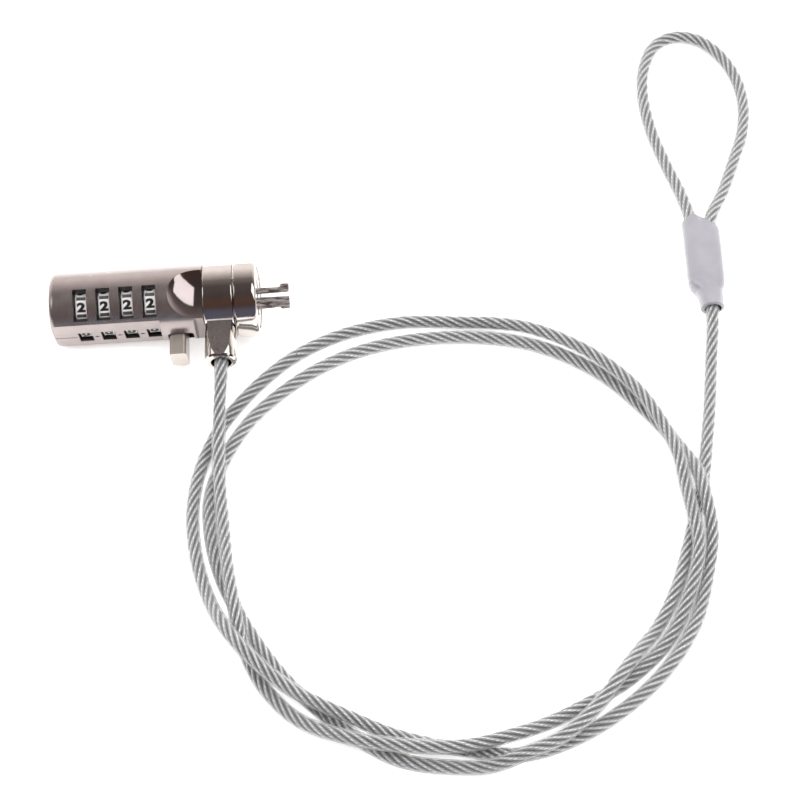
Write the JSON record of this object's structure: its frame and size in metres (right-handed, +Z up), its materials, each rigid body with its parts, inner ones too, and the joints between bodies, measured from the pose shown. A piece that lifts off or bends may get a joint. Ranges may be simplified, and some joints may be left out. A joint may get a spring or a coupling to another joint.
{
  "type": "laptop cable lock",
  "caption": "Cylindrical combination lock head with number wheels, release lever, swivelling cable collar and slot claws, on a coiled jacketed steel cable with a crimped end loop.",
  "frame": {"origin": "on the table, under the middle of the lock head's box (the cable and its loop end left out)", "axes": "+X from the lock's tail to its claws, +Y away from the cable outlet, +Z up from the table"},
  "size_m": [0.2085, 0.2405, 0.0246],
  "materials": {
    "nickel": "polished dark nickel plate",
    "chrome": "polished chrome plate",
    "wheel_metal": "satin plated",
    "steel": "plain bright steel",
    "brass": "machined",
    "cable_jacket": "clear jacket over galvanised strands",
    "sleeve_plastic": "glossy"
  },
  "bodies": {
    "cable_assembly": {"swivel_collar": "chrome", "swivel_washer": "brass", "cable_end_ferrule": "steel", "cable": "cable_jacket", "loop_ferrule": "steel", "loop_sleeve": "sleeve_plastic"},
    "lock_body": {"body_shell": "nickel", "rear_plug": "nickel", "neck_tube": "steel", "nose_cap": "chrome", "face_plate": "steel", "body_pin": "steel", "nose_pin": "steel", "detent_spring": "brass", "claw_pin_upper": "steel", "claw_pin_lower": "steel"},
    "reset_screw": {"code_reset_screw": "steel"},
    "release_slide": {"spindle": "steel", "release_lever": "nickel", "spring_seat": "steel", "return_spring": "steel", "claw_wedge": "steel"},
    "wheel_1": {"number_wheel_1": "wheel_metal", "code_sleeve_1": "brass"},
    "wheel_2": {"number_wheel_2": "wheel_metal", "code_sleeve_2": "brass"},
    "wheel_3": {"number_wheel_3": "wheel_metal", "code_sleeve_3": "brass"},
    "wheel_4": {"number_wheel_4": "wheel_metal", "code_sleeve_4": "brass"},
    "upper_claw": {"claw_upper": "steel"},
    "lower_claw": {"claw_lower": "steel"}
  },
  "joints": [
    {"name": "body_swivel", "type": "hinge", "parent": "cable_assembly", "child": "lock_body", "pos_m": [0.01425, 0.00485, 0.01292], "axis": [0.9986, 0, 0.0523], "continuous": true},
    {"name": "wheel_1_turn", "type": "hinge", "parent": "lock_body", "child": "wheel_1", "pos_m": [-0.02444, 0.00485, 0.01089], "axis": [0.9986, 0, 0.0523], "continuous": true},
    {"name": "wheel_2_turn", "type": "hinge", "parent": "lock_body", "child": "wheel_2", "pos_m": [-0.018, 0.00485, 0.01123], "axis": [0.9986, 0, 0.0523], "continuous": true},
    {"name": "wheel_3_turn", "type": "hinge", "parent": "lock_body", "child": "wheel_3", "pos_m": [-0.01156, 0.00485, 0.01157], "axis": [0.9986, 0, 0.0523], "continuous": true},
    {"name": "wheel_4_turn", "type": "hinge", "parent": "lock_body", "child": "wheel_4", "pos_m": [-0.00512, 0.00485, 0.01191], "axis": [0.9986, 0, 0.0523], "continuous": true},
    {"name": "reset_turn", "type": "hinge", "parent": "lock_body", "child": "reset_screw", "pos_m": [-0.03383, 0.00485, 0.0104], "axis": [0.9986, 0, 0.0523], "range_deg": [0, 90]},
    {"name": "release_push", "type": "slide", "parent": "lock_body", "child": "release_slide", "axis": [0.9986, 0, 0.0523], "range_m": [0, 0.0018], "stiffness_N_per_m": 500, "springref_m": -0.003},
    {"name": "upper_claw_pivot", "type": "hinge", "parent": "lock_body", "child": "upper_claw", "pos_m": [0.02065, 0.00649, 0.01421], "axis": [-0.0453, -0.5, 0.8648], "range_deg": [-2.4, 0]},
    {"name": "lower_claw_pivot", "type": "hinge", "parent": "lock_body", "child": "lower_claw", "pos_m": [0.02074, 0.0032, 0.01231], "axis": [-0.0453, -0.5, 0.8648], "range_deg": [0, 1.2]}
  ],
  "couplings": [
    {"joint": "upper_claw_pivot", "follows": "release_push", "rad_per_m": -23.2},
    {"joint": "lower_claw_pivot", "follows": "release_push", "rad_per_m": 11.6}
  ]
}
